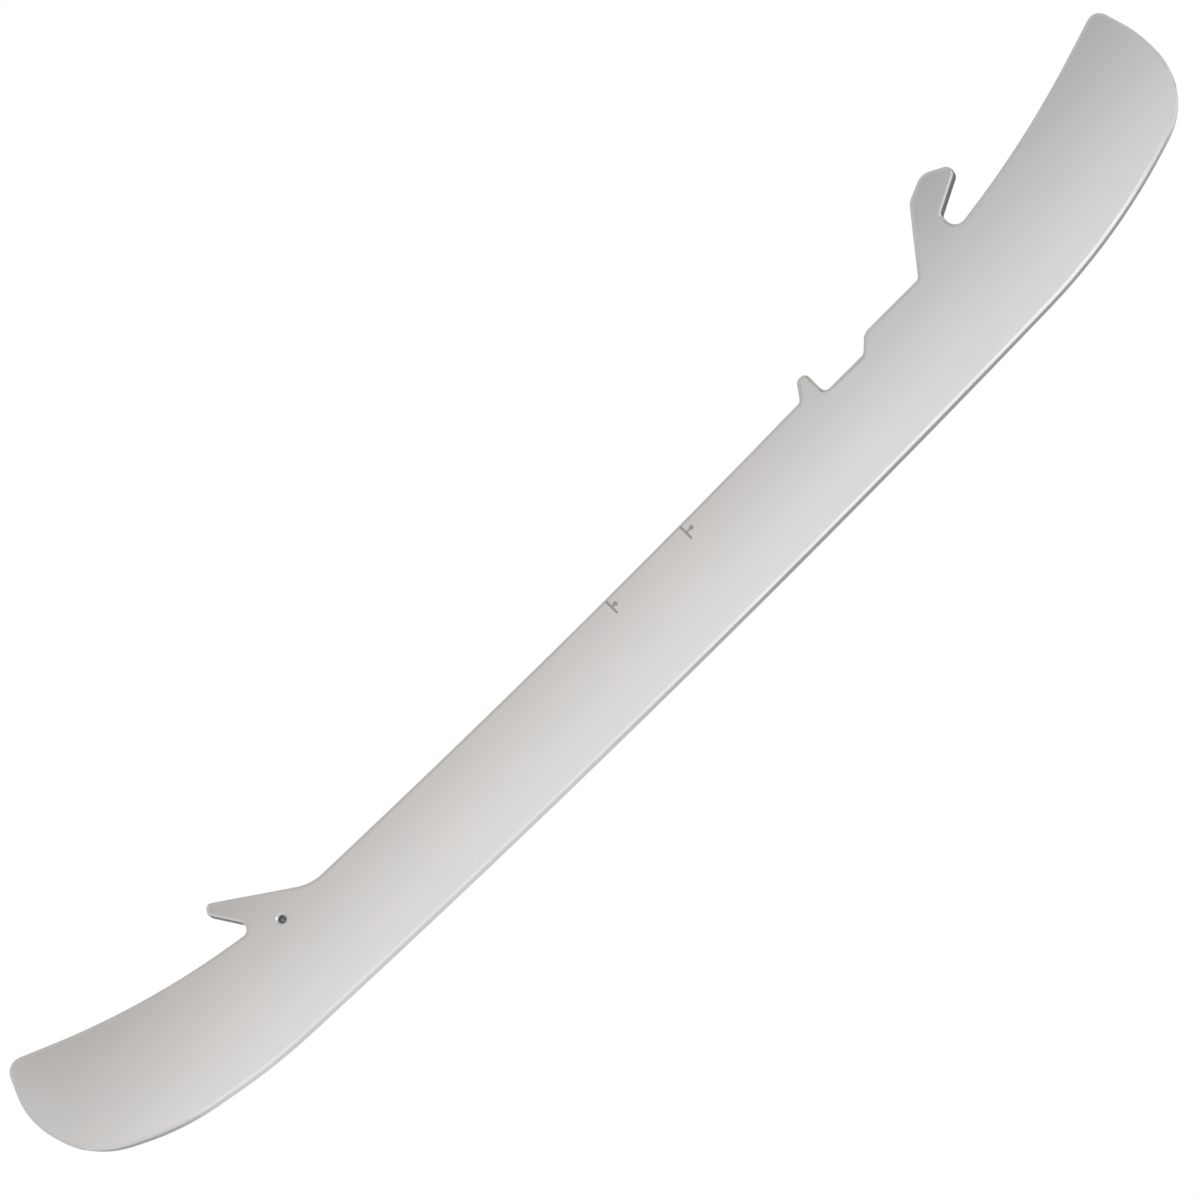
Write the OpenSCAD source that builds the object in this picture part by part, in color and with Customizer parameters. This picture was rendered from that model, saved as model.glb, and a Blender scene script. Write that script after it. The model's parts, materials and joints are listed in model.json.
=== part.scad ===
// Runner of an ice hockey skate: one hardened steel plate that a holder grips by its top edge.
// Lengths are millimetres and angles are degrees.
// X runs from the toe (-) to the heel (+) and Y across the plate.
// Z runs up from the lowest point of the running edge.

/* [Plate] */
// Length from the toe end to the heel end
overall_length = 272; // [246:1:306]
// Thickness of the steel
thickness = 3; // [2.5:0.1:4]
// Height from the lowest point of the running edge to the lowest point of the top edge
body_height = 19.7; // [16:0.1:24]
// Width of the soft break along every edge, measured on the face
edge_break = 0.55; // [0.2:0.05:0.6]
// Depth of that break, measured into the thickness
break_depth = 0.15; // [0.1:0.05:0.5]

/* [Running edge] */
// Radius of the rocker, the long curve that rests on the ice
rocker_radius = 2743; // [1800:1:4000]
// How far the lowest point of the rocker lies behind mid-length
rocker_setback = 25; // [0:1:40]
// Radius of the hollow ground along the running edge
hollow_radius = 12.7; // [6:0.1:40]
// Slope of the running edge where the hollow starts to fade out
hollow_fade_slope = 25; // [15:1:35]
// Slope of the running edge where the hollow has gone
hollow_end_slope = 50; // [40:1:70]

/* [Top edge] */
// Radius of the long shallow dip in the top edge
top_radius = 2400; // [1600:1:4000]
// How far the lowest point of the top edge lies behind mid-length
top_setback = 6; // [0:1:20]

/* [Heel end] */
// Rise of the heel tip above the top edge
heel_tip_rise = 13.2; // [9:0.1:17]
// Distance of the heel tip from the heel end
heel_tip_reach = 2.3; // [1:0.1:6]
// Corner radius of the heel tip
heel_tip_radius = 2.3; // [1:0.1:4]
// Height at which the heel end starts to lean forward
heel_lean_height = 24.4; // [20:0.1:27]
// Radius where the heel end starts to lean
heel_lean_radius = 22; // [5:0.5:40]
// Height of the sharp corner under the heel, before its round
heel_corner_height = 10.2; // [7:0.1:14]
// Radius of the round under the heel
heel_corner_radius = 13.5; // [6:0.5:14]
// Distance from the heel end to where the rocker gives way to the heel sweep
heel_sweep_start = 46; // [36:0.5:54]
// Distance from the heel end to the bend of the heel sweep
heel_sweep_reach = 27.7; // [22:0.1:34]
// Radius of the heel sweep
heel_sweep_radius = 120; // [50:1:140]
// Distance from the heel end to the bend in the sloping edge in front of the heel tip
heel_edge_reach = 27; // [20:0.5:34]
// Rise of that bend above the top edge
heel_edge_rise = 5.2; // [3.5:0.1:6]
// Radius of that bend
heel_edge_radius = 180; // [60:5:200]

/* [Toe end] */
// Rise of the toe tip above the top edge
toe_tip_rise = 17.5; // [13:0.1:22]
// Distance of the toe tip from the toe end
toe_tip_reach = 3.5; // [1:0.1:7]
// Corner radius of the toe tip
toe_tip_radius = 2.8; // [1:0.1:4]
// Height at which the toe end starts to lean back
toe_lean_height = 28.9; // [25:0.1:31]
// Radius where the toe end starts to lean
toe_lean_radius = 14; // [5:0.5:25]
// Height of the sharp corner under the toe, before its round
toe_corner_height = 15.6; // [12:0.1:18]
// Radius of the round under the toe
toe_corner_radius = 17; // [8:0.5:18]
// Distance from the toe end to the second bend of the toe sweep
toe_lift_reach = 17.8; // [15:0.1:22]
// Height of that second bend
toe_lift_height = 6.4; // [5:0.1:8]
// Radius of that second bend
toe_lift_radius = 50; // [20:1:60]
// Distance from the toe end to where the rocker gives way to the toe sweep
toe_sweep_start = 46; // [40:0.5:54]
// Distance from the toe end to the first bend of the toe sweep
toe_sweep_reach = 37.5; // [30:0.5:39]
// Radius of that first bend
toe_sweep_radius = 108; // [40:1:120]
// Distance from the toe end to the bend in the sloping edge behind the toe tip
toe_edge_reach = 28.6; // [22:0.1:36]
// Rise of that bend above the top edge
toe_edge_rise = 6.6; // [4.5:0.1:8]
// Radius of that bend
toe_edge_radius = 150; // [50:5:170]

/* [Toe spur] */
// Distance from the toe end to the inner end of the notch under the spur
notch_reach = 51.9; // [50:0.1:55]
// Rise of the notch floor above the top edge
notch_rise = 2.8; // [1.5:0.1:4]
// Radius of the inner end of the notch
notch_radius = 1.3; // [0.6:0.1:2]
// Distance from the toe end to the lower corner of the spur's nose
spur_nose_reach = 47; // [44:0.1:48.5]
// Rise of that lower corner above the top edge
spur_nose_rise = 10.5; // [8:0.1:12]
// Rise of the spur's highest corner above the top edge
spur_tip_rise = 12.2; // [11.5:0.1:15]
// Distance from the toe end to the spur's highest corner
spur_tip_reach = 48.3; // [46.5:0.1:51]
// Radius of both corners of the spur's nose
spur_tip_radius = 1; // [0.6:0.1:1.5]
// Distance from the toe end to where the spur leaves the top edge
spur_root_reach = 63.9; // [58:0.1:75]
// Radius where the spur leaves the top edge
spur_root_radius = 9; // [2:0.5:12]

/* [Latch tooth] */
// Distance from the heel end to the upright rear face of the tooth
tooth_reach = 83.5; // [76:0.5:95]
// Height of the tooth above the top edge
tooth_height = 3.5; // [2:0.1:6]
// Width of the tooth at its tip
tooth_tip_width = 2.1; // [1.5:0.1:4]
// Width of the tooth where it leaves the top edge
tooth_root_width = 4.3; // [3:0.1:8]
// Radius of the tooth's corners
tooth_radius = 1; // [0.6:0.1:1.2]
// Depth of the recess behind the tooth, below the top edge
recess_depth = 1.6; // [0.8:0.1:4]
// Length of the recess floor
recess_length = 9.5; // [5:0.1:12]
// Length of the ramp at the rear of the recess
ramp_length = 2.7; // [1.5:0.1:5]
// Radius of the recess's corners
recess_radius = 1.2; // [0.6:0.1:1.6]

/* [Heel hook] */
// Rise of the land between the recess and the hook, above the top edge
land_rise = 1; // [0.4:0.1:2]
// Radius at the front of the land
land_radius = 2.5; // [0.6:0.1:4]
// Distance from the heel end to where the hook leaves the land
hook_root_reach = 57.9; // [54:0.1:62]
// Distance from the heel end to the hook's shoulder
hook_shoulder_reach = 49.4; // [47:0.1:52]
// Rise of the hook's shoulder above the top edge
hook_shoulder_rise = 11.9; // [10:0.1:13]
// Distance from the heel end to the hook's crown
hook_crown_reach = 44.4; // [42:0.1:46]
// Rise of the hook's crown above the top edge
hook_crown_rise = 14.1; // [13.2:0.1:16]
// Distance from the heel end to the hook's nose
hook_nose_reach = 38.3; // [36:0.1:41]
// Rise of the hook's nose above the top edge
hook_nose_rise = 10.8; // [9.5:0.1:12]
// Radius of the hook's shoulder and crown
hook_crown_radius = 3.2; // [1:0.1:5]
// Radius of the hook's nose
hook_nose_radius = 1.4; // [0.8:0.1:2]
// Distance from the heel end to the inner end of the slot under the hook
slot_reach = 47; // [44:0.1:48.5]
// Rise of the slot's roof above the top edge, at its inner end
slot_roof_rise = 6.3; // [5.2:0.1:7.5]
// Rise of the slot's floor above the top edge, at its inner end
slot_floor_rise = 2.4; // [1.2:0.1:3]
// Radius between the slot's inner end and its roof, and at the hook's root
slot_radius = 1; // [0.6:0.1:1.6]
// Radius between the slot's inner end and its floor
slot_floor_radius = 2; // [0.6:0.1:2.6]

/* [Locating hole] */
// Diameter of the blind hole in the marked face
hole_diameter = 1.2; // [0.8:0.1:2]
// Distance from the toe end to the hole
hole_reach = 56; // [55:0.1:60]
// Rise of the hole above the top edge
hole_rise = 0.6; // [-6:0.1:1.5]
// Width of the countersink around the hole's mouth
countersink = 0.45; // [0.1:0.05:0.6]
// Steel left under the point of the hole
hole_floor = 0.5; // [0.3:0.05:1]
// Angle of the drill's point
drill_point = 118; // [90:1:135]

/* [Smoothness] */
// Farthest that a flat facet may lie from its true arc
facet_error = 0.01; // [0.005:0.005:0.03]
// Flats across half of the ground hollow
hollow_flats = 3; // [2:1:4]

/* [Hidden] */
steel_colour = [0.79, 0.785, 0.775];
cut_margin = 1;
shortest_side = 0.02;

toe_x = -overall_length / 2;
heel_x = overall_length / 2;

// Each arc below is [x of its lowest point, z of its lowest point, radius]
rocker = [rocker_setback, 0, rocker_radius];
top_edge = [top_setback, body_height, top_radius];

// Corners of the outline are [x, z, radius of the round]
function from_toe(reach, rise, radius) = [toe_x + reach, body_height + rise, radius];
function from_heel(reach, rise, radius) = [heel_x - reach, body_height + rise, radius];

function arc_height(arc, x) = arc[1] + arc[2] - sqrt(arc[2] ^ 2 - (x - arc[0]) ^ 2);
function arc_slope(arc, x) = asin((x - arc[0]) / arc[2]);

// The corner whose round, of the arc's own radius, is the arc from x1 to x2
function arc_corner(arc, x1, x2) =
    let (middle = (arc_slope(arc, x1) + arc_slope(arc, x2)) / 2)
    let (half = abs(arc_slope(arc, x2) - arc_slope(arc, x1)) / 2)
    let (reach = arc[2] / cos(half))
    [arc[0] + reach * sin(middle), arc[1] + arc[2] - reach * cos(middle), arc[2]];

// A corner at x on the line that touches the arc at x_touch
function touching(arc, x_touch, x, radius) =
    [x, arc_height(arc, x_touch) + (x - x_touch) * tan(arc_slope(arc, x_touch)), radius];

// The outline's corners, from the toe tip along the top to the heel tip and back underneath
spur_root_x = toe_x + spur_root_reach;
tooth_root_x = heel_x - tooth_reach - tooth_root_width;
top_start_x = spur_root_x + spur_root_radius / 2;
top_end_x = tooth_root_x - tooth_radius;

toe_top = [
    from_toe(toe_tip_reach, toe_tip_rise, toe_tip_radius),
    from_toe(toe_edge_reach, toe_edge_rise, toe_edge_radius),
    from_toe(notch_reach, notch_rise, notch_radius),
    from_toe(spur_nose_reach, spur_nose_rise, spur_tip_radius),
    from_toe(spur_tip_reach, spur_tip_rise, spur_tip_radius),
    touching(top_edge, top_start_x, spur_root_x, spur_root_radius),
];

tooth_and_recess = [
    touching(top_edge, top_end_x, tooth_root_x, tooth_radius),
    from_heel(tooth_reach + tooth_tip_width, tooth_height, tooth_radius),
    from_heel(tooth_reach, tooth_height, tooth_radius),
    from_heel(tooth_reach, -recess_depth, recess_radius),
    from_heel(tooth_reach - recess_length, -recess_depth, recess_radius),
    from_heel(tooth_reach - recess_length - ramp_length, land_rise, land_radius),
];

hook_and_slot = [
    from_heel(hook_root_reach, land_rise, slot_radius),
    from_heel(hook_shoulder_reach, hook_shoulder_rise, hook_crown_radius),
    from_heel(hook_crown_reach, hook_crown_rise, hook_crown_radius),
    from_heel(hook_nose_reach, hook_nose_rise, hook_nose_radius),
    from_heel(slot_reach, slot_roof_rise, slot_radius),
    from_heel(slot_reach, slot_floor_rise, slot_floor_radius),
];

heel_end = [
    from_heel(heel_edge_reach, heel_edge_rise, heel_edge_radius),
    from_heel(heel_tip_reach, heel_tip_rise, heel_tip_radius),
    [heel_x, heel_lean_height, heel_lean_radius],
    [heel_x, heel_corner_height, heel_corner_radius],
];

running_edge = [
    touching(rocker, heel_x - heel_sweep_start, heel_x - heel_sweep_reach, heel_sweep_radius),
    arc_corner(rocker, toe_x + toe_sweep_start, heel_x - heel_sweep_start),
    touching(rocker, toe_x + toe_sweep_start, toe_x + toe_sweep_reach, toe_sweep_radius),
];

toe_end = [
    [toe_x + toe_lift_reach, toe_lift_height, toe_lift_radius],
    [toe_x, toe_corner_height, toe_corner_radius],
    [toe_x, toe_lean_height, toe_lean_radius],
];

corners = concat(
    toe_top,
    [arc_corner(top_edge, top_start_x, top_end_x)],
    tooth_and_recess,
    hook_and_slot,
    heel_end,
    running_edge,
    toe_end
);

// Rounding of the corners: every round keeps clear of the rounds next to it
function point(i) = let (c = corners[(i + len(corners)) % len(corners)]) [c[0], c[1]];
function side(i) = point(i + 1) - point(i);
function heading(i) = let (s = side(i)) atan2(s[1], s[0]);
function bend(i) = let (turn = heading(i) - heading(i - 1)) turn - 360 * round(turn / 360);
function wanted_run(i) = corners[(i + len(corners)) % len(corners)][2] * tan(abs(bend(i)) / 2);
function side_share(i) = min(1, norm(side(i)) / (wanted_run(i) + wanted_run(i + 1)));
function run(i) = wanted_run(i) * min(side_share(i - 1), side_share(i));
function along(angle) = [cos(angle), sin(angle)];
function outward(angle) = [-sin(angle), cos(angle)];

// Points of one round as [place, outward direction]
function round_points(i) =
    let (start_heading = heading(i - 1), turn = bend(i))
    let (radius = run(i) / tan(abs(turn) / 2), side_sign = sign(turn))
    let (start = point(i) - run(i) * along(start_heading))
    let (centre = start + side_sign * radius * outward(start_heading))
    let (steps = ceil(abs(turn) / (2 * acos(1 - facet_error / radius))))
    [for (k = [0 : steps])
        let (angle = start_heading + turn * k / steps)
        [centre - side_sign * radius * outward(angle), outward(angle)]];

all_points = [for (i = [0 : len(corners) - 1]) each round_points(i)];
outline = [for (i = [0 : len(all_points) - 1])
    let (before = all_points[(i + len(all_points) - 1) % len(all_points)])
    if (norm(all_points[i][0] - before[0]) > shortest_side) all_points[i]];

// Section across the plate: a break at both faces and the ground hollow of the running edge between them
edge_half = thickness / 2 - break_depth;
section_y = concat(
    [-thickness / 2],
    [for (k = [-hollow_flats : hollow_flats]) edge_half * k / hollow_flats],
    [thickness / 2]
);
function hollow_depth(y) = sqrt(hollow_radius ^ 2 - y ^ 2) - sqrt(hollow_radius ^ 2 - edge_half ^ 2);
function is_face(y) = abs(y) > edge_half + break_depth / 2;
function edge_slope(p) = abs(atan2(p[1][0], -p[1][1]));
function ground_share(p) =
    p[0][1] > body_height / 2 ? 0
    : max(0, min(1, (hollow_end_slope - edge_slope(p)) / (hollow_end_slope - hollow_fade_slope)));
function inset(p, y) = is_face(y) ? edge_break : ground_share(p) * hollow_depth(y);
function skin_point(p, y) = let (q = p[0] - inset(p, y) * p[1]) [q[0], y, q[1]];

// Triangles that fill a flat face of the plate: corners are cut off its outline one by one
face_places = [for (p = outline) p[0] - edge_break * p[1]];
function turn(a, b, c) = cross(b - a, c - a);
function holds(a, b, c, p) = turn(a, b, p) < 0 && turn(b, c, p) < 0 && turn(c, a, p) < 0;
function cut_at(ring, k) = let (n = len(ring)) [ring[(k + n - 1) % n], ring[k], ring[(k + 1) % n]];
function is_free(ring, cut) =
    let (a = face_places[cut[0]], b = face_places[cut[1]], c = face_places[cut[2]])
    turn(a, b, c) < 0 && len([for (i = ring) if (holds(a, b, c, face_places[i])) i]) == 0;
function free_corner(ring, k) = is_free(ring, cut_at(ring, k)) ? k : free_corner(ring, k + 1);
function fill(ring) =
    len(ring) == 3 ? [ring]
    : let (k = free_corner(ring, 0))
      concat([cut_at(ring, k)], fill([for (i = [0 : len(ring) - 1]) if (i != k) ring[i]]));

// The plate as a loft: the outline repeated across the thickness
module plate() {
    count = len(outline);
    last_ring = (len(section_y) - 1) * count;
    skin = [for (y = section_y) for (p = outline) skin_point(p, y)];
    walls = [for (j = [0 : count : last_ring - 1]) for (i = [0 : count - 1])
        let (next = (i + 1) % count)
        [j + i, j + count + i, j + count + next, j + next]];
    near_face = fill([for (i = [0 : count - 1]) i]);
    far_face = [for (t = near_face) [last_ring + t[2], last_ring + t[1], last_ring + t[0]]];
    polyhedron(points = skin, faces = concat(near_face, far_face, walls), convexity = 10);
}

// The hole's cutter: Z runs into the steel from the marked face
module drill() {
    hole_radius = hole_diameter / 2;
    point_height = hole_radius / tan(drill_point / 2);
    point_depth = thickness - hole_floor - point_height;
    mouth_width = countersink + cut_margin;
    translate([toe_x + hole_reach, -thickness / 2, body_height + hole_rise]) rotate([-90, 0, 0]) {
        translate([0, 0, -cut_margin]) cylinder(r = hole_radius, h = cut_margin + point_depth, $fn = 64);
        translate([0, 0, -cut_margin])
            cylinder(r1 = hole_radius + mouth_width, r2 = hole_radius, h = mouth_width, $fn = 64);
        translate([0, 0, point_depth]) cylinder(r1 = hole_radius, r2 = 0, h = point_height, $fn = 64);
    }
}

module runner() {
    color(steel_colour) difference() {
        plate();
        drill();
    }
}

runner();
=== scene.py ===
import json
import math

import bmesh
import bpy
from bpy.props import (
    FloatProperty,
    FloatVectorProperty,
    IntProperty,
    PointerProperty,
)
from mathutils import Matrix, Vector


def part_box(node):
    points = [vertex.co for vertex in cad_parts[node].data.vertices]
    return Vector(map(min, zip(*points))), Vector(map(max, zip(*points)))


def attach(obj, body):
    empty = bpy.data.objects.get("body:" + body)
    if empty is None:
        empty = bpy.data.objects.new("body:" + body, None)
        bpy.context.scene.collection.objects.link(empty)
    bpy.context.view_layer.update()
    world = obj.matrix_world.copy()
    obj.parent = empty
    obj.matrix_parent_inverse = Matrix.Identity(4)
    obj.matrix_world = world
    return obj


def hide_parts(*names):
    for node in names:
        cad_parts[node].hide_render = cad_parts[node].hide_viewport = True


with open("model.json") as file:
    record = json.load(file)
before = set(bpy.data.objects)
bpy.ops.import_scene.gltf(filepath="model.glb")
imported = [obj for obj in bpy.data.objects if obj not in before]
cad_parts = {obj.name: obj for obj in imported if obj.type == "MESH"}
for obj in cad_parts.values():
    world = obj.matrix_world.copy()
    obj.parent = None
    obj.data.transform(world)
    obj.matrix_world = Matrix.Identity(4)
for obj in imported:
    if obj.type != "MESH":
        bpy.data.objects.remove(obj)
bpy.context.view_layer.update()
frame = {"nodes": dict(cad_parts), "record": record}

bl_info = {
    "name": "Skate Runner",
    "version": (1, 0, 0),
    "blender": (4, 5, 0),
    "location": "View3D > Sidebar > Runner",
    "description": "Finishes the steel runner of an ice hockey skate and sets up its studio",
    "category": "Object",
}

MM = 0.001
PLATE_NODE = "runner"
PLATE_BODY = "root"
PLATE_LOW, PLATE_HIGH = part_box(PLATE_NODE)
MARKED_FACE_Y = PLATE_LOW.y
HOLE = next(mount for mount in frame["record"]["mounts"] if mount["name"] == "locating_hole")
HOLE_CENTRE = Vector(HOLE["pos_m"])
HOLE_RADIUS = HOLE["dims"]["r_mm"] * MM
OPENINGS = {space["name"]: space["box_m"] for space in frame["record"]["physics"]["openings"]}


# Settings

class RunnerPlateSettings(bpy.types.PropertyGroup):
    round_width: FloatProperty(
        name="Edge Round", description="Width of the round between each break and the edge beside it",
        default=0.12 * MM, min=0.01 * MM, max=0.3 * MM, precision=5, unit="LENGTH")
    undercut_round: FloatProperty(
        name="Undercut Round", description="Width of the rounds on the undersides of the hook and the spur",
        default=0.45 * MM, min=0.1 * MM, max=0.5 * MM, precision=5, unit="LENGTH")
    round_segments: IntProperty(
        name="Round Segments", description="Flats across each round",
        default=5, min=1, max=6)
    satin_colour: FloatVectorProperty(
        name="Satin Steel", description="Colour of the two ground and polished faces",
        default=(0.634, 0.628, 0.630), size=3, min=0.0, max=1.0, subtype="COLOR")
    satin_roughness: FloatProperty(
        name="Satin Roughness", description="Mean roughness of the two faces",
        default=0.26, min=0.05, max=0.8, subtype="FACTOR")
    break_colour: FloatVectorProperty(
        name="Edge Break", description="Colour of the polished breaks along the edges",
        default=(0.62, 0.614, 0.612), size=3, min=0.0, max=1.0, subtype="COLOR")
    # The running edge is a ground finish. Its colour is darker than the faces partly as painted shade, for
    # the shadow that the hollow would mirror
    running_colour: FloatVectorProperty(
        name="Running Edge", description="Colour of the ground hollow that rests on the ice",
        default=(0.50, 0.498, 0.495), size=3, min=0.0, max=1.0, subtype="COLOR")
    # The other edges are a rougher cut finish. Their very dark colour is partly painted shade, standing in
    # for the shade on walls that face down and inside the slots
    cut_colour: FloatVectorProperty(
        name="Cut Edge", description="Colour of the other edges",
        default=(0.22, 0.217, 0.215), size=3, min=0.0, max=1.0, subtype="COLOR")
    dull_colour: FloatVectorProperty(
        name="Dull Break",
        description="Colour of the break under the spur, which the polishing wheel doesn't reach",
        default=(0.64, 0.634, 0.634), size=3, min=0.0, max=1.0, subtype="COLOR")


class RunnerMarkSettings(bpy.types.PropertyGroup):
    front_place: FloatProperty(
        name="Front Mark", description="Place of the front mark along the runner",
        default=-0.5 * MM, precision=5, unit="LENGTH")
    rear_place: FloatProperty(
        name="Rear Mark", description="Place of the rear mark along the runner",
        default=17.95 * MM, precision=5, unit="LENGTH")
    top_height: FloatProperty(
        name="Top of Mark", description="Height of the upper end of each tick",
        default=19.42 * MM, precision=5, unit="LENGTH")
    tick_length: FloatProperty(
        name="Tick Length", description="Length of each tick",
        default=3.0 * MM, min=0.5 * MM, max=8 * MM, precision=5, unit="LENGTH")
    tick_width: FloatProperty(
        name="Tick Width", description="Width of each tick",
        default=0.46 * MM, min=0.1 * MM, max=1 * MM, precision=5, unit="LENGTH")
    dot_diameter: FloatProperty(
        name="Dot Diameter", description="Diameter of the dot beside each tick",
        default=0.85 * MM, min=0.2 * MM, max=2 * MM, precision=5, unit="LENGTH")
    front_reach: FloatProperty(
        name="Front Dot Reach", description="Distance of the front dot from its tick, towards the heel",
        default=0.88 * MM, min=0.3 * MM, max=4 * MM, precision=5, unit="LENGTH")
    rear_reach: FloatProperty(
        name="Rear Dot Reach", description="Distance of the rear dot from its tick, towards the heel",
        default=1.3 * MM, min=0.3 * MM, max=4 * MM, precision=5, unit="LENGTH")
    depth: FloatProperty(
        name="Etch Depth", description="Depth of the etched marks in the steel",
        default=0.05 * MM, min=0.01 * MM, max=0.3 * MM, precision=6, unit="LENGTH")
    proud: FloatProperty(
        name="Etch Film", description="Height of the dark etching film above the face",
        default=0.008 * MM, min=0.002 * MM, max=0.05 * MM, precision=6, unit="LENGTH")
    colour: FloatVectorProperty(
        name="Etching", description="Colour of the etched marks",
        default=(0.40, 0.386, 0.366), size=3, min=0.0, max=1.0, subtype="COLOR")


class RunnerStageSettings(bpy.types.PropertyGroup):
    floor_colour: FloatVectorProperty(
        name="Floor", description="Colour of the pale floor",
        default=(0.86, 0.86, 0.86), size=3, min=0.0, max=1.0, subtype="COLOR")
    floor_radius: FloatProperty(
        name="Floor Radius", description="Radius of the round floor, which fades out towards its rim",
        default=2.2, min=0.5, max=6.0, unit="LENGTH")
    camera_tilt: FloatProperty(
        name="Camera Tilt", description="How far the camera looks up at the marked face, from below the edge",
        default=math.radians(14.0), subtype="ANGLE")
    camera_roll: FloatProperty(
        name="Camera Roll", description="Turn of the runner in the picture",
        default=math.radians(45.0), subtype="ANGLE")
    camera_distance: FloatProperty(
        name="Camera Distance", description="Distance from the camera to the runner",
        default=1.75, min=0.5, max=6.0, unit="LENGTH")
    frame_width: FloatProperty(
        name="Frame Width", description="Width of the picture at the runner",
        default=210.24 * MM, min=0.05, max=1.0, precision=5, unit="LENGTH")
    aim: FloatVectorProperty(
        name="Aim", description="Point on the marked face at the middle of the picture",
        default=(-1.057 * MM, MARKED_FACE_Y, 20.31 * MM), size=3, precision=5,
        subtype="TRANSLATION", unit="LENGTH")
    fill_strength: FloatProperty(
        name="Fill Light", description="Strength of the even light from all round",
        default=0.74, min=0.0, max=2.0)
    key_power: FloatProperty(
        name="Key Power", description="Power of the large soft lamp above the runner, in watts",
        default=12.5, min=0.0, max=100.0)


# Small helpers for node trees

# Sockets of a Mix node for colours, by number, because its sockets for other kinds have the same names
MIX_FACTOR, MIX_FIRST, MIX_SECOND = 0, 6, 7
MIX_RESULT = 2


def put(tree, kind, **values):
    """Adds a node. Keys are its properties, or its input sockets with spaces written as underscores."""
    node = tree.nodes.new(kind)
    for key, value in values.items():
        if key in node.bl_rna.properties:
            setattr(node, key, value)
        else:
            node.inputs[key.replace("_", " ")].default_value = value
    return node


def wire(tree, out_socket, in_socket):
    """Links an output to an input."""
    tree.links.new(out_socket, in_socket)


def fresh_material(name):
    """A new material with only a metal shader and its output."""
    material = bpy.data.materials.new(name)
    material.use_nodes = True
    tree = material.node_tree
    tree.nodes.clear()
    shader = put(tree, "ShaderNodeBsdfPrincipled", Metallic=1.0)
    output = put(tree, "ShaderNodeOutputMaterial")
    wire(tree, shader.outputs["BSDF"], output.inputs["Surface"])
    return material, tree, shader


def streaks(tree, coordinates, stretch, detail):
    """Noise in object space, drawn out by the three numbers in stretch (features per metre)."""
    mapping = put(tree, "ShaderNodeMapping")
    mapping.inputs["Scale"].default_value = stretch
    wire(tree, coordinates, mapping.inputs["Vector"])
    noise = put(tree, "ShaderNodeTexNoise", Scale=1.0, Detail=detail, Roughness=NOISE_ROUGHNESS)
    wire(tree, mapping.outputs["Vector"], noise.inputs["Vector"])
    return noise.outputs["Fac"]


def ranged(tree, value, low, high, to_low, to_high):
    """A value mapped from one range to another, clamped."""
    node = put(tree, "ShaderNodeMapRange", clamp=True)
    for socket, number in zip(("From Min", "From Max", "To Min", "To Max"), (low, high, to_low, to_high)):
        node.inputs[socket].default_value = number
    wire(tree, value, node.inputs["Value"])
    return node.outputs["Result"]


def blended(tree, factor, first, second):
    """A colour between two colours."""
    node = put(tree, "ShaderNodeMix", data_type="RGBA")
    node.inputs[MIX_FIRST].default_value = (*first, 1.0)
    node.inputs[MIX_SECOND].default_value = (*second, 1.0)
    wire(tree, factor, node.inputs[MIX_FACTOR])
    return node.outputs[MIX_RESULT]


def shaded(tree, colour, value):
    """A colour multiplied by a grey value."""
    node = put(tree, "ShaderNodeVectorMath", operation="SCALE")
    wire(tree, colour, node.inputs[0])
    wire(tree, value, node.inputs["Scale"])
    return node.outputs["Vector"]


def scaled(colour, red, green, blue):
    """A colour with each part multiplied by its own number."""
    return (colour[0] * red, colour[1] * green, colour[2] * blue)


# Finishes of the steel

# Features of each noise per metre, along x, y and z, and how fine its detail is
NOISE_DETAIL = 3.0
NOISE_ROUGHNESS = 0.55
DRIFT_DETAIL = 2.0
DRIFT_STRETCH = (55.0, 55.0, 80.0)
GRAIN_STRETCH = (14.0, 400.0, 1500.0)
CLOUD_STRETCH = (60.0, 60.0, 110.0)
PATCH_STRETCH = (90.0, 90.0, 90.0)
FILM_STRETCH = (2200.0, 2200.0, 2200.0)

# The part of each noise's range that is used
NOISE_RANGE = (0.3, 0.7)
DRIFT_RANGE = (0.36, 0.64)
PATCH_RANGE = (0.35, 0.65)
FILM_RANGE = (0.32, 0.68)

# What the noises do to colour, light, roughness and relief
COOL_STEEL = (0.996, 0.998, 1.004)
WARM_STEEL = (1.005, 1.001, 0.994)
DARK_PATCH = (0.97, 0.97, 0.98)
LIGHT_PATCH = (1.03, 1.03, 1.02)
THICK_FILM = (0.92, 0.92, 0.92)
THIN_FILM = (1.08, 1.08, 1.08)
FILM_ROUGHNESS = (0.5, 0.65)
GRAIN_SWING = 0.004
CLOUD_SWING = 0.006
FACE_ROUGHNESS_SWING = 0.01
EDGE_ROUGHNESS_SWING = 0.06
FACE_RELIEF = (0.03, 0.003 * MM)
EDGE_RELIEF = 0.3

# Edges: name, the setting with the colour, roughness, stretch of the lines, their contrast, relief's height
EDGE_FINISHES = (
    ("broken_edge_steel", "break_colour", 0.20, (40.0, 900.0, 900.0), 0.02, 0.002 * MM),
    ("ground_edge_steel", "running_colour", 0.30, (30.0, 9000.0, 200.0), 0.06, 0.004 * MM),
    ("cut_edge_steel", "cut_colour", 0.38, (2600.0, 120.0, 2600.0), 0.08, 0.006 * MM),
    ("dull_edge_steel", "dull_colour", 0.38, (900.0, 900.0, 900.0), 0.03, 0.003 * MM),
)

# Places of the finishes in the plate's list of materials: the satin face, then the edges
FACE, BREAK, RUNNING_AND_SHADE, CUT_AND_SHADE, DULL = range(1 + len(EDGE_FINISHES))


def swung(tree, noise, mean, swing):
    """A number that a noise moves up and down around its mean."""
    return ranged(tree, noise, *NOISE_RANGE, mean - swing, mean + swing)


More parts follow.
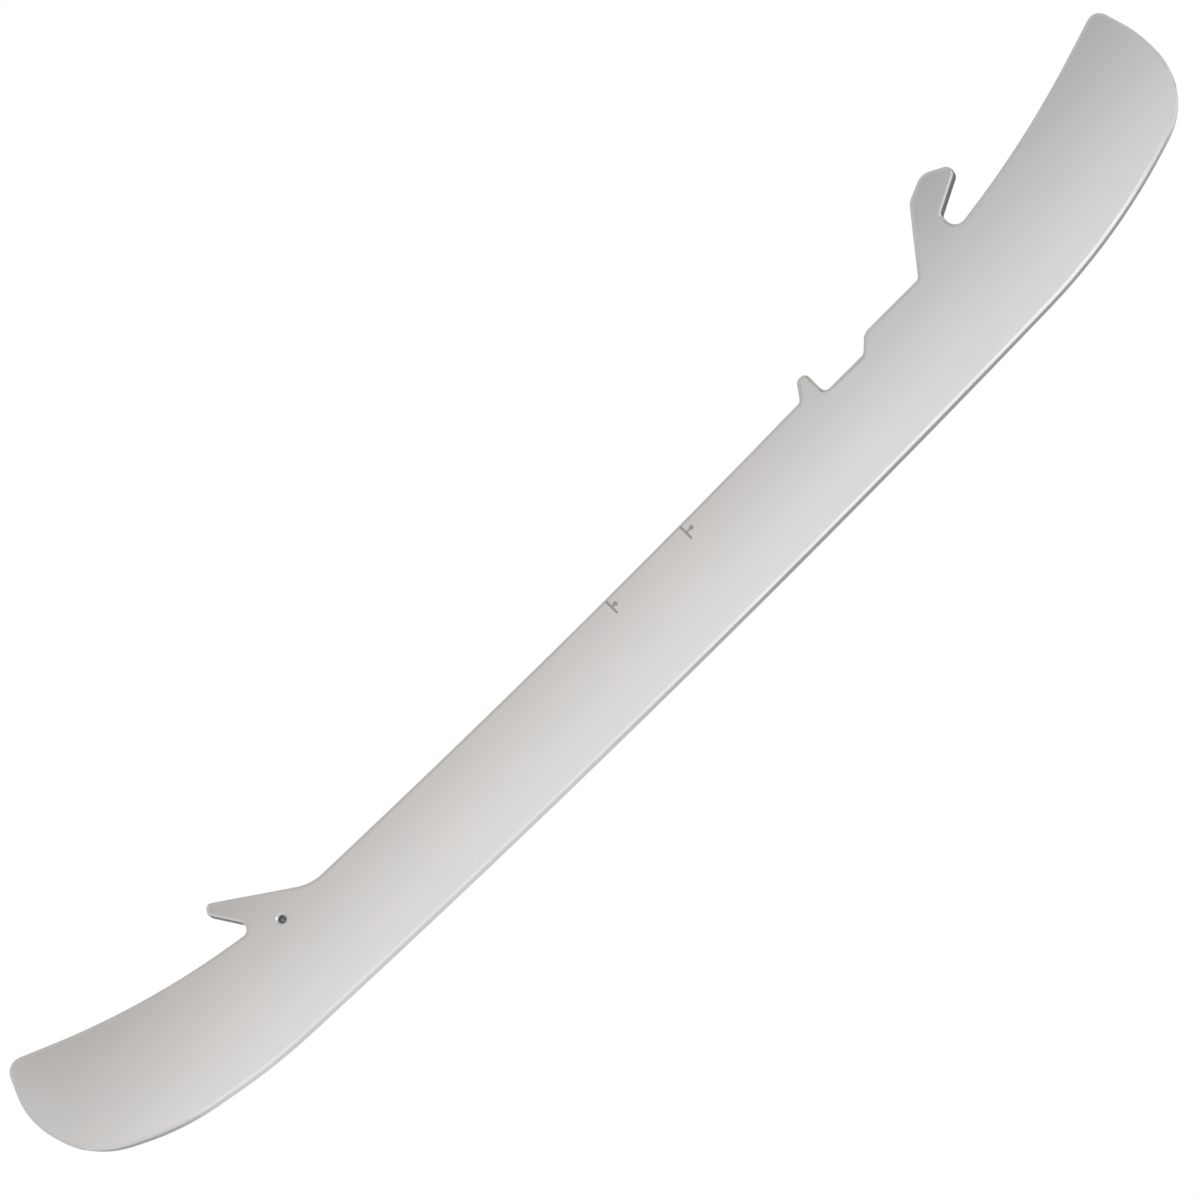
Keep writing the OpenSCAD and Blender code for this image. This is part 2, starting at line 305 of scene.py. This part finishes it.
def add_relief(tree, shader, noise, strength, height):
    """Gives a shader the fine relief of a noise."""
    bump = put(tree, "ShaderNodeBump", Strength=strength, Distance=height)
    wire(tree, noise, bump.inputs["Height"])
    wire(tree, bump.outputs["Normal"], shader.inputs["Normal"])


def satin_steel(settings):
    """Fine-ground, polished face: faint lengthwise grain and a slow drift between warm and cool steel."""
    material, tree, shader = fresh_material("satin_steel")
    place = put(tree, "ShaderNodeTexCoord").outputs["Object"]
    base = tuple(settings.satin_colour)
    drift = ranged(tree, streaks(tree, place, DRIFT_STRETCH, DRIFT_DETAIL), *DRIFT_RANGE, 0.0, 1.0)
    tone = blended(tree, drift, scaled(base, *COOL_STEEL), scaled(base, *WARM_STEEL))
    grain = streaks(tree, place, GRAIN_STRETCH, NOISE_DETAIL)
    cloud = streaks(tree, place, CLOUD_STRETCH, NOISE_DETAIL)
    light = put(tree, "ShaderNodeMath", operation="MULTIPLY")
    wire(tree, swung(tree, grain, 1.0, GRAIN_SWING), light.inputs[0])
    wire(tree, swung(tree, cloud, 1.0, CLOUD_SWING), light.inputs[1])
    wire(tree, shaded(tree, tone, light.outputs["Value"]), shader.inputs["Base Color"])
    rough = swung(tree, grain, settings.satin_roughness, FACE_ROUGHNESS_SWING)
    wire(tree, rough, shader.inputs["Roughness"])
    add_relief(tree, shader, grain, *FACE_RELIEF)
    return material


def edge_steel(name, colour, roughness, stretch, contrast, height):
    """Ground or cut edge: machining lines in the direction that stretch gives, over faint patches."""
    material, tree, shader = fresh_material(name)
    place = put(tree, "ShaderNodeTexCoord").outputs["Object"]
    base = tuple(colour)
    lines = streaks(tree, place, stretch, NOISE_DETAIL)
    patch = ranged(tree, streaks(tree, place, PATCH_STRETCH, NOISE_DETAIL), *PATCH_RANGE, 0.0, 1.0)
    tone = blended(tree, patch, scaled(base, *DARK_PATCH), scaled(base, *LIGHT_PATCH))
    wire(tree, shaded(tree, tone, swung(tree, lines, 1.0, contrast)), shader.inputs["Base Color"])
    wire(tree, swung(tree, lines, roughness, EDGE_ROUGHNESS_SWING), shader.inputs["Roughness"])
    add_relief(tree, shader, lines, EDGE_RELIEF, height)
    return material


def etched_steel(settings):
    """Dark, matt film left by the etching, a little uneven."""
    material, tree, shader = fresh_material("etched_mark")
    place = put(tree, "ShaderNodeTexCoord").outputs["Object"]
    base = tuple(settings.colour)
    patch = ranged(tree, streaks(tree, place, FILM_STRETCH, NOISE_DETAIL), *FILM_RANGE, 0.0, 1.0)
    tone = blended(tree, patch, scaled(base, *THICK_FILM), scaled(base, *THIN_FILM))
    wire(tree, tone, shader.inputs["Base Color"])
    wire(tree, ranged(tree, patch, 0.0, 1.0, *FILM_ROUGHNESS), shader.inputs["Roughness"])
    return material


# The plate

# Shares of a face's normal that point across the plate: flat faces, nearly flat ones, walls and breaks
PLAIN_SHARE = 0.9999
FLAT_SHARE = 0.985
WALL_SHARE = 0.9
BREAK_SHARE = 0.25
UNDERCUT_BREAK_SHARE = 0.945
# Shares that point down: undersides, undersides with the widest round, and the running edge
UNDERSIDE_SHARE = 0.05
FULL_ROUND_SHARE = 0.5
RUNNING_SHARE = 0.55
# How far an underside reaches from the middle of its opening, and how far out the hole's wall is looked for
UNDERCUT_REACH = 6.5 * MM
HOLE_MARGIN = 1.02
# Edges that turn by more than this are rounded
ROUND_ANGLE = math.radians(22.0)
# How far faces may turn from each other and still be joined into one: on the flats, and on the walls
FLAT_TURN = math.radians(0.02)
WALL_TURN = math.radians(2.0)
WALL_CORNER = math.radians(60.0)
WELD = 0.002 * MM


def under(opening, place, normal):
    """Whether a place faces down into one of the plate's openings."""
    low, high = (Vector(corner) for corner in OPENINGS[opening])
    from_middle = place - 0.5 * (low + high)
    return normal.z < -UNDERSIDE_SHARE and math.hypot(from_middle.x, from_middle.z) < UNDERCUT_REACH


def undercut(place, normal):
    """Whether a place is on the underside of the hook or of the spur."""
    return any(under(opening, place, normal) for opening in ("hook_slot", "hook_mouth", "spur_notch"))


def weigh_rounds(shell, plain_share):
    """Gives each sharp edge its share of the widest round: more on undersides, a plain share elsewhere."""
    shares = shell.edges.layers.float.new("bevel_weight_edge")
    for edge in shell.edges:
        if len(edge.link_faces) != 2 or edge.calc_face_angle() < ROUND_ANGLE:
            continue
        wall = min(edge.link_faces, key=lambda face: abs(face.normal.y))
        middle = 0.5 * (edge.verts[0].co + edge.verts[1].co)
        down = min(1.0, -wall.normal.z / FULL_ROUND_SHARE) if undercut(middle, wall.normal) else 0.0
        edge[shares] = plain_share + (1.0 - plain_share) * down


def welded_copy(node, plain_share):
    """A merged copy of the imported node's mesh, with as few faces as its flats and its walls need."""
    mesh = frame["nodes"][node].data.copy()
    shell = bmesh.new()
    shell.from_mesh(mesh)
    bmesh.ops.remove_doubles(shell, verts=shell.verts[:], dist=WELD)
    bmesh.ops.recalc_face_normals(shell, faces=shell.faces[:])
    flat = [f for f in shell.faces if abs(f.normal.y) > PLAIN_SHARE]
    inner = [e for e in shell.edges if all(abs(f.normal.y) > PLAIN_SHARE for f in e.link_faces)]
    bmesh.ops.dissolve_limit(
        shell, angle_limit=FLAT_TURN, use_dissolve_boundaries=False,
        verts=list({v for f in flat for v in f.verts}), edges=inner)
    walls = [f for f in shell.faces if len(f.verts) == 3 and abs(f.normal.y) < WALL_SHARE]
    bmesh.ops.join_triangles(
        shell, faces=walls, angle_face_threshold=WALL_TURN, angle_shape_threshold=WALL_CORNER)
    weigh_rounds(shell, plain_share)
    shell.to_mesh(mesh)
    shell.free()
    mesh.materials.clear()
    if "custom_normal" in mesh.attributes:
        mesh.attributes.remove(mesh.attributes["custom_normal"])
    return mesh


def finish_zone(face):
    """Which finish a face has. The hole is polished as the breaks are, and its drill point is ground, with
    the ground edge's darker colour that is partly painted shade in the recess.
    """
    across = abs(face.normal.y)
    if across > FLAT_SHARE:
        return FACE
    from_hole = face.center - HOLE_CENTRE
    if math.hypot(from_hole.x, from_hole.z) < HOLE_MARGIN * HOLE_RADIUS:
        # The drill point takes the running edge's colour, which darkens it partly as painted shade in the
        # recess
        return RUNNING_AND_SHADE if across > BREAK_SHARE else BREAK
    if across > (UNDERCUT_BREAK_SHARE if undercut(face.center, face.normal) else BREAK_SHARE):
        return DULL if under("spur_notch", face.center, face.normal) else BREAK
    low = face.center.z < 0.5 * (PLATE_LOW.z + PLATE_HIGH.z)
    # The remaining walls take the cut colour, which is partly painted shade
    return RUNNING_AND_SHADE if low and face.normal.z < -RUNNING_SHARE else CUT_AND_SHADE


def sharpen_faces(mesh):
    """Keeps a crisp line between each flat face and the breaks and rounds beside it."""
    sides = {}
    for face in mesh.polygons:
        for key in face.edge_keys:
            sides.setdefault(key, set()).add(abs(face.normal.y) > PLAIN_SHARE)
    for edge in mesh.edges:
        edge.use_edge_sharp = len(sides[edge.key]) == 2


class RUNNER_OT_plate(bpy.types.Operator):
    """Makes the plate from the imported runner, with rounded edges and a finish for each kind of surface"""
    bl_idname = "runner.plate"
    bl_label = "Make Plate"
    bl_options = {"REGISTER", "UNDO"}

    def execute(self, context):
        settings = context.scene.runner_plate
        plain_share = settings.round_width / settings.undercut_round
        plate = bpy.data.objects.new("runner_plate", welded_copy(PLATE_NODE, plain_share))
        context.scene.collection.objects.link(plate)
        rounds = plate.modifiers.new("rounds", "BEVEL")
        rounds.limit_method = "WEIGHT"
        rounds.offset_type = "WIDTH"
        rounds.width = settings.undercut_round
        rounds.segments = settings.round_segments
        rounds.use_clamp_overlap = False
        plate.modifiers.new("split", "TRIANGULATE")
        finished = bpy.data.meshes.new_from_object(
            plate.evaluated_get(context.evaluated_depsgraph_get()))
        plate.modifiers.clear()
        plate.data = finished
        finished.name = "runner_plate"
        finished.materials.append(satin_steel(settings))
        for name, colour, *look in EDGE_FINISHES:
            finished.materials.append(edge_steel(name, getattr(settings, colour), *look))
        for face in finished.polygons:
            face.material_index = finish_zone(face)
            face.use_smooth = True
        sharpen_faces(finished)
        if not finished.polygons:
            raise RuntimeError("the plate has no faces")
        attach(plate, PLATE_BODY)
        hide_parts(PLATE_NODE)
        return {"FINISHED"}


# The etched marks

MARK_SIZES = ("Tick Length", "Tick Width", "Dot Diameter", "Link Width", "Film")
REACH = "reach"
# Shares of the tick's width, and the numbers of flats on the round forms
TICK_ROUND_SHARE = 0.4
LINK_SHARE = 0.8
TICK_ROUND_FLATS = 5
DOT_SIDES = 24
MARK_WELD = 0.001 * MM


def mark_tree():
    """Geometry nodes: on each point one solid, of a tick, a dot at the point's own reach and their link."""
    tree = bpy.data.node_groups.new("index_marks", "GeometryNodeTree")
    sockets = tree.interface
    sockets.new_socket("Geometry", in_out="INPUT", socket_type="NodeSocketGeometry")
    for name in MARK_SIZES:
        sockets.new_socket(name, in_out="INPUT", socket_type="NodeSocketFloat")
    sockets.new_socket("Geometry", in_out="OUTPUT", socket_type="NodeSocketGeometry")
    given = put(tree, "NodeGroupInput").outputs
    result = put(tree, "NodeGroupOutput")
    reach = put(tree, "GeometryNodeInputNamedAttribute", data_type="FLOAT", Name=REACH).outputs["Attribute"]

    def times(value, number):
        """A value multiplied by a number."""
        node = put(tree, "ShaderNodeMath", operation="MULTIPLY")
        wire(tree, value, node.inputs[0])
        node.inputs[1].default_value = number
        return node.outputs["Value"]

    def along(value, across):
        """A vector with a value along the runner and a number across it."""
        node = put(tree, "ShaderNodeCombineXYZ", Y=across, Z=across)
        wire(tree, value, node.inputs["X"])
        return node.outputs["Vector"]

    def slab(curve):
        """A flat outline made as thick as the film."""
        fill = put(tree, "GeometryNodeFillCurve")
        wire(tree, curve, fill.inputs["Curve"])
        raised = put(tree, "GeometryNodeExtrudeMesh", mode="FACES")
        raised.inputs["Individual"].default_value = False
        wire(tree, fill.outputs["Mesh"], raised.inputs["Mesh"])
        wire(tree, given["Film"], raised.inputs["Offset Scale"])
        bed = put(tree, "GeometryNodeFlipFaces")
        wire(tree, fill.outputs["Mesh"], bed.inputs["Mesh"])
        both = put(tree, "GeometryNodeJoinGeometry")
        wire(tree, raised.outputs["Mesh"], both.inputs["Geometry"])
        wire(tree, bed.outputs["Mesh"], both.inputs["Geometry"])
        weld = put(tree, "GeometryNodeMergeByDistance", Distance=MARK_WELD)
        wire(tree, both.outputs["Geometry"], weld.inputs["Geometry"])
        return weld.outputs["Geometry"]

    def spread(shape, shift=None, scale=None):
        """A copy of a flat shape on each point, stood up against the marked face."""
        stand = put(tree, "GeometryNodeTransform")
        stand.inputs["Rotation"].default_value = (math.pi / 2, 0.0, 0.0)
        wire(tree, shape, stand.inputs["Geometry"])
        moved = put(tree, "GeometryNodeSetPosition")
        wire(tree, given["Geometry"], moved.inputs["Geometry"])
        copies = put(tree, "GeometryNodeInstanceOnPoints")
        wire(tree, moved.outputs["Geometry"], copies.inputs["Points"])
        wire(tree, stand.outputs["Geometry"], copies.inputs["Instance"])
        if shift is not None:
            wire(tree, shift, moved.inputs["Offset"])
        if scale is not None:
            wire(tree, scale, copies.inputs["Scale"])
        real = put(tree, "GeometryNodeRealizeInstances")
        wire(tree, copies.outputs["Instances"], real.inputs["Geometry"])
        return real.outputs["Geometry"]

    bar = put(tree, "GeometryNodeCurvePrimitiveQuadrilateral", mode="RECTANGLE")
    wire(tree, given["Tick Width"], bar.inputs["Width"])
    wire(tree, given["Tick Length"], bar.inputs["Height"])
    soft = put(tree, "GeometryNodeFilletCurve", mode="POLY", Count=TICK_ROUND_FLATS)
    wire(tree, times(given["Tick Width"], TICK_ROUND_SHARE), soft.inputs["Radius"])
    wire(tree, bar.outputs["Curve"], soft.inputs["Curve"])
    dot = put(tree, "GeometryNodeCurvePrimitiveCircle", mode="RADIUS", Resolution=DOT_SIDES)
    wire(tree, times(given["Dot Diameter"], 0.5), dot.inputs["Radius"])
    # The link is drawn a metre long, and each point scales it to its own reach
    link = put(tree, "GeometryNodeCurvePrimitiveQuadrilateral", mode="RECTANGLE", Width=1.0)
    wire(tree, given["Link Width"], link.inputs["Height"])

    mark = put(tree, "GeometryNodeMeshBoolean", operation="UNION", solver="EXACT")
    for piece in (
        spread(slab(soft.outputs["Curve"])),
        spread(slab(dot.outputs["Curve"]), shift=along(reach, 0.0)),
        spread(slab(link.outputs["Curve"]), shift=along(times(reach, 0.5), 0.0), scale=along(reach, 1.0)),
    ):
        wire(tree, piece, mark.inputs["Mesh 2"])
    wire(tree, mark.outputs["Mesh"], result.inputs["Geometry"])
    return tree


class RUNNER_OT_index_marks(bpy.types.Operator):
    """Etches the two index marks near the top edge of the marked face"""
    bl_idname = "runner.index_marks"
    bl_label = "Etch Index Marks"
    bl_options = {"REGISTER", "UNDO"}

    def execute(self, context):
        settings = context.scene.runner_marks
        bed = MARKED_FACE_Y + settings.depth
        middle = settings.top_height - 0.5 * settings.tick_length
        points = [(x, bed, middle) for x in (settings.front_place, settings.rear_place)]
        mesh = bpy.data.meshes.new("index_marks")
        mesh.from_pydata(points, [], [])
        reach = mesh.attributes.new(REACH, "FLOAT", "POINT")
        reach.data.foreach_set("value", (settings.front_reach, settings.rear_reach))
        marks = bpy.data.objects.new("index_marks", mesh)
        context.scene.collection.objects.link(marks)
        tree = mark_tree()
        nodes = marks.modifiers.new("marks", "NODES")
        nodes.node_group = tree
        values = {
            "Tick Length": settings.tick_length,
            "Tick Width": settings.tick_width,
            "Dot Diameter": settings.dot_diameter,
            "Link Width": LINK_SHARE * settings.tick_width,
            "Film": settings.depth + settings.proud,
        }
        for item in tree.interface.items_tree:
            if item.in_out == "INPUT" and item.name in values:
                nodes[item.identifier] = values[item.name]
        finished = bpy.data.meshes.new_from_object(
            marks.evaluated_get(context.evaluated_depsgraph_get()))
        marks.modifiers.clear()
        marks.data = finished
        finished.name = "index_marks"
        finished.materials.append(etched_steel(settings))
        if not finished.polygons:
            raise RuntimeError("the index marks have no faces")
        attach(marks, PLATE_BODY)
        return {"FINISHED"}


# The studio

# Shares of the floor's radius between which it fades out
FLOOR_FADE = (0.10, 0.60)
FLOOR_ROUGHNESS = 0.9
KEY_PLACE = Vector((-0.7, -0.8, 1.3))
KEY_WIDTH = 0.9
SENSOR_WIDTH = 36.0


def sheet_object(name, corners, material):
    """A flat four-cornered sheet that belongs to the studio."""
    mesh = bpy.data.meshes.new(name)
    mesh.from_pydata(corners, [], [(0, 1, 2, 3)])
    mesh.materials.append(material)
    sheet = bpy.data.objects.new(name, mesh)
    bpy.context.scene.collection.objects.link(sheet)
    return sheet


def colour_stops(tree, value, stops):
    """A colour ramp over places in metres. Each stop is (place, colour)."""
    low, high = stops[0][0], stops[-1][0]
    ramp = put(tree, "ShaderNodeValToRGB")
    elements = ramp.color_ramp.elements
    while len(elements) < len(stops):
        elements.new(0.5)
    for element, (place, colour) in zip(elements, stops):
        element.position = (place - low) / (high - low)
        element.color = (*colour, 1.0)
    wire(tree, ranged(tree, value, low, high, 0.0, 1.0), ramp.inputs["Fac"])
    return ramp.outputs["Color"]


def upright(left, right, depth, low, high):
    """Corners of a sheet that stands across the view."""
    return [(left, depth, low), (right, depth, low), (right, depth, high), (left, depth, high)]


def lying(left, right, near, far, height):
    """Corners of a sheet that lies flat."""
    return [(left, near, height), (right, near, height), (right, far, height), (left, far, height)]


def graded_light(tree, toe_stops, heel_stops, turn):
    """Light that changes with height, and from toe to heel between the two places in turn."""
    place = put(tree, "ShaderNodeSeparateXYZ")
    wire(tree, put(tree, "ShaderNodeTexCoord").outputs["Object"], place.inputs["Vector"])
    mix = put(tree, "ShaderNodeMix", data_type="RGBA")
    wire(tree, ranged(tree, place.outputs["X"], *turn, 0.0, 1.0), mix.inputs[MIX_FACTOR])
    wire(tree, colour_stops(tree, place.outputs["Z"], toe_stops), mix.inputs[MIX_FIRST])
    wire(tree, colour_stops(tree, place.outputs["Z"], heel_stops), mix.inputs[MIX_SECOND])
    return mix.outputs[MIX_RESULT]


def studio_panel(name, corners, colour=None, grading=None):
    """A panel that only the steel's reflections see, of one colour or with graded light."""
    material = bpy.data.materials.new(name)
    material.use_nodes = True
    tree = material.node_tree
    tree.nodes.clear()
    glow = put(tree, "ShaderNodeEmission", Strength=1.0)
    if grading:
        wire(tree, graded_light(tree, *grading), glow.inputs["Color"])
    else:
        glow.inputs["Color"].default_value = (*colour, 1.0)
    output = put(tree, "ShaderNodeOutputMaterial")
    wire(tree, glow.outputs["Emission"], output.inputs["Surface"])
    panel = sheet_object(name, corners, material)
    for rays in ("camera", "diffuse", "transmission", "volume_scatter", "shadow"):
        setattr(panel, "visible_" + rays, False)


def grey(level):
    """A neutral colour."""
    return (level, level, level)


def make_panels():
    """The light and dark sheets that the steel mirrors."""
    # In front: a soft box that is bright at the height that the lower half of the face mirrors
    low, high = 0.0, 0.095
    studio_panel("front_panel", upright(-0.143, 0.17, -0.10, low, high), grading=(
        [(low, grey(0.22)), (0.008, grey(0.50)), (0.018, (1.62, 1.623, 1.648)), (0.034, (1.09, 1.066, 1.042)),
         (0.043, (0.89, 0.86, 0.82)), (0.066, (0.49, 0.465, 0.445)), (high, grey(0.40))],
        [(low, grey(0.72)), (0.008, grey(1.05)), (0.018, (1.34, 1.354, 1.392)),
         (0.043, (0.865, 0.856, 0.845)), (0.066, (0.455, 0.45, 0.445)), (high, grey(0.40))],
        (0.03, 0.10)))
    # In front and low: the light that runs along the lower breaks
    low, high = -0.22, 0.0
    studio_panel("low_panel", upright(-0.16, 0.172, -0.2, low, high), grading=(
        [(low, grey(0.55)), (-0.13, grey(0.75)), (-0.10, grey(1.33)),
         (-0.028, grey(1.33)), (-0.010, grey(0.40)), (high, grey(0.25))],
        [(low, grey(0.55)), (-0.13, grey(0.75)), (-0.10, grey(1.55)),
         (-0.028, grey(1.55)), (-0.010, grey(0.60)), (high, grey(0.50))],
        (-0.02, 0.04)))
    # Further in front and lower: a flag that greys the faces when they are seen from above
    studio_panel("front_flag", upright(-0.8, 0.8, -0.3, -0.6, -0.135), grey(0.78))
    # Underneath, towards the heel: the light in the mouth of the hole
    studio_panel("under_panel", lying(0.1, 0.7, -0.3, 0.2, -0.3), grey(2.0))
    # Overhead: a grey flag for the upper breaks, and a darker one behind it
    studio_panel("over_panel", lying(-0.4, 0.4, -0.45, -0.02, 0.4), (0.765, 0.753, 0.738))
    studio_panel("top_flag", lying(-0.7, 0.4, -0.02, 0.25, 0.4), grey(0.3))
    # Behind: flags for the running edge, and for the undersides of the hook and the spur
    low, high = -0.16, -0.03
    studio_panel("rear_flag", upright(-0.16, 0.207, 0.3, low, high), grading=(
        [(low, grey(1.05)), (high, grey(1.05))], [(low, grey(0.45)), (high, grey(0.45))], (-0.03, 0.03)))
    studio_panel("hook_flag", upright(0.085, 0.138, 0.06, 0.004, 0.05), grey(0.37))
    studio_panel("spur_flag", upright(-0.195, -0.115, 0.3, 0.033, 0.103), grey(0.35))
    studio_panel("toe_flag", upright(-0.34, -0.168, 0.31, -0.09, 0.012), grey(0.42))
    # At both ends: flags for the breaks that face the toe or the heel
    studio_panel("left_flag", upright(-0.45, -0.175, -0.2, 0.0, 0.25), grey(0.84))
    studio_panel("right_flag", upright(0.175, 0.45, -0.2, 0.03, 0.25), grey(0.80))


def make_floor(settings):
    """A pale round floor, seen only from above, that fades into the white at its rim."""
    material, tree, shader = fresh_material("floor_paint")
    shader.inputs["Metallic"].default_value = 0.0
    shader.inputs["Roughness"].default_value = FLOOR_ROUGHNESS
    shader.inputs["Base Color"].default_value = (*settings.floor_colour, 1.0)
    clear = put(tree, "ShaderNodeBsdfTransparent")
    reach = put(tree, "ShaderNodeVectorMath", operation="LENGTH")
    wire(tree, put(tree, "ShaderNodeTexCoord").outputs["Object"], reach.inputs[0])
    radius = settings.floor_radius
    fade = put(tree, "ShaderNodeMapRange", interpolation_type="SMOOTHSTEP")
    fade.inputs["From Min"].default_value = FLOOR_FADE[0] * radius
    fade.inputs["From Max"].default_value = FLOOR_FADE[1] * radius
    wire(tree, reach.outputs["Value"], fade.inputs["Value"])
    gone = put(tree, "ShaderNodeMath", operation="MAXIMUM")
    wire(tree, fade.outputs["Result"], gone.inputs[0])
    wire(tree, put(tree, "ShaderNodeNewGeometry").outputs["Backfacing"], gone.inputs[1])
    mix = put(tree, "ShaderNodeMixShader")
    wire(tree, gone.outputs["Value"], mix.inputs["Fac"])
    wire(tree, shader.outputs["BSDF"], mix.inputs[1])
    wire(tree, clear.outputs["BSDF"], mix.inputs[2])
    output = next(n for n in tree.nodes if n.type == "OUTPUT_MATERIAL")
    wire(tree, mix.outputs["Shader"], output.inputs["Surface"])
    floor = sheet_object("floor", lying(-radius, radius, -radius, radius, 0.0), material)
    floor.visible_glossy = False


def make_world(settings):
    """White all round for the camera and for reflections, and an even fill light for the rest."""
    world = bpy.data.worlds.new("studio")
    bpy.context.scene.world = world
    world.use_nodes = True
    tree = world.node_tree
    tree.nodes.clear()
    rays = put(tree, "ShaderNodeLightPath")
    seen = put(tree, "ShaderNodeMath", operation="ADD")
    wire(tree, rays.outputs["Is Camera Ray"], seen.inputs[0])
    wire(tree, rays.outputs["Is Glossy Ray"], seen.inputs[1])
    shown = put(tree, "ShaderNodeMath", operation="ADD", use_clamp=True)
    wire(tree, seen.outputs["Value"], shown.inputs[0])
    wire(tree, rays.outputs["Is Transmission Ray"], shown.inputs[1])
    fill = put(tree, "ShaderNodeBackground", Strength=settings.fill_strength)
    white = put(tree, "ShaderNodeBackground", Strength=1.0)
    for background in (fill, white):
        background.inputs["Color"].default_value = (1.0, 1.0, 1.0, 1.0)
    mix = put(tree, "ShaderNodeMixShader")
    wire(tree, shown.outputs["Value"], mix.inputs["Fac"])
    wire(tree, fill.outputs["Background"], mix.inputs[1])
    wire(tree, white.outputs["Background"], mix.inputs[2])
    output = put(tree, "ShaderNodeOutputWorld")
    wire(tree, mix.outputs["Shader"], output.inputs["Surface"])


def make_key_lamp(settings):
    """One large soft lamp above, in front and towards the toe."""
    data = bpy.data.lights.new("key_lamp", "AREA")
    data.shape = "DISK"
    data.size = KEY_WIDTH
    data.energy = settings.key_power
    lamp = bpy.data.objects.new("key_lamp", data)
    turn = (-KEY_PLACE).to_track_quat("-Z", "Y").to_matrix().to_4x4()
    lamp.matrix_world = Matrix.Translation(KEY_PLACE) @ turn
    lamp.visible_camera = False
    lamp.visible_glossy = False
    bpy.context.scene.collection.objects.link(lamp)


def make_camera(settings):
    """Long lens, square to the marked face but for the tilt, with the runner turned in the picture."""
    tilt, roll = settings.camera_tilt, settings.camera_roll
    look = Vector((0.0, math.cos(tilt), math.sin(tilt)))
    over = Vector((0.0, -math.sin(tilt), math.cos(tilt)))
    along = Vector((1.0, 0.0, 0.0))
    right = math.cos(roll) * along - math.sin(roll) * over
    up = math.sin(roll) * along + math.cos(roll) * over
    data = bpy.data.cameras.new("camera")
    data.sensor_width = SENSOR_WIDTH
    data.lens = data.sensor_width * settings.camera_distance / settings.frame_width
    camera = bpy.data.objects.new("camera", data)
    turn = Matrix((right, up, -look)).transposed().to_4x4()
    camera.matrix_world = Matrix.Translation(Vector(settings.aim) - look * settings.camera_distance) @ turn
    bpy.context.scene.collection.objects.link(camera)
    bpy.context.scene.camera = camera


class RUNNER_OT_stage(bpy.types.Operator):
    """Sets up the floor, the lights, the reflected panels and the camera"""
    bl_idname = "runner.stage"
    bl_label = "Set Up Studio"
    bl_options = {"REGISTER", "UNDO"}

    def execute(self, context):
        settings = context.scene.runner_stage
        context.scene.view_settings.view_transform = "Standard"
        make_world(settings)
        make_floor(settings)
        make_panels()
        make_key_lamp(settings)
        make_camera(settings)
        if context.scene.camera is None:
            raise RuntimeError("the studio has no camera")
        return {"FINISHED"}


class RUNNER_PT_sidebar(bpy.types.Panel):
    """Sizes, colours and steps of the runner"""
    bl_idname = "RUNNER_PT_sidebar"
    bl_label = "Skate Runner"
    bl_space_type = "VIEW_3D"
    bl_region_type = "UI"
    bl_category = "Runner"

    def draw(self, context):
        steps = (
            ("runner_plate", RUNNER_OT_plate),
            ("runner_marks", RUNNER_OT_index_marks),
            ("runner_stage", RUNNER_OT_stage),
        )
        for group, operator in steps:
            settings = getattr(context.scene, group)
            box = self.layout.box()
            for name in settings.__annotations__:
                box.prop(settings, name)
            box.operator(operator.bl_idname)


CLASSES = (
    RunnerPlateSettings,
    RunnerMarkSettings,
    RunnerStageSettings,
    RUNNER_OT_plate,
    RUNNER_OT_index_marks,
    RUNNER_OT_stage,
    RUNNER_PT_sidebar,
)


def register():
    for cls in CLASSES:
        bpy.utils.register_class(cls)
    bpy.types.Scene.runner_plate = PointerProperty(type=RunnerPlateSettings)
    bpy.types.Scene.runner_marks = PointerProperty(type=RunnerMarkSettings)
    bpy.types.Scene.runner_stage = PointerProperty(type=RunnerStageSettings)


def unregister():
    del bpy.types.Scene.runner_stage
    del bpy.types.Scene.runner_marks
    del bpy.types.Scene.runner_plate
    for cls in reversed(CLASSES):
        bpy.utils.unregister_class(cls)


def main():
    register()
    bpy.ops.runner.plate()
    bpy.ops.runner.index_marks()
    bpy.ops.runner.stage()


if __name__ == "__main__":
    main()
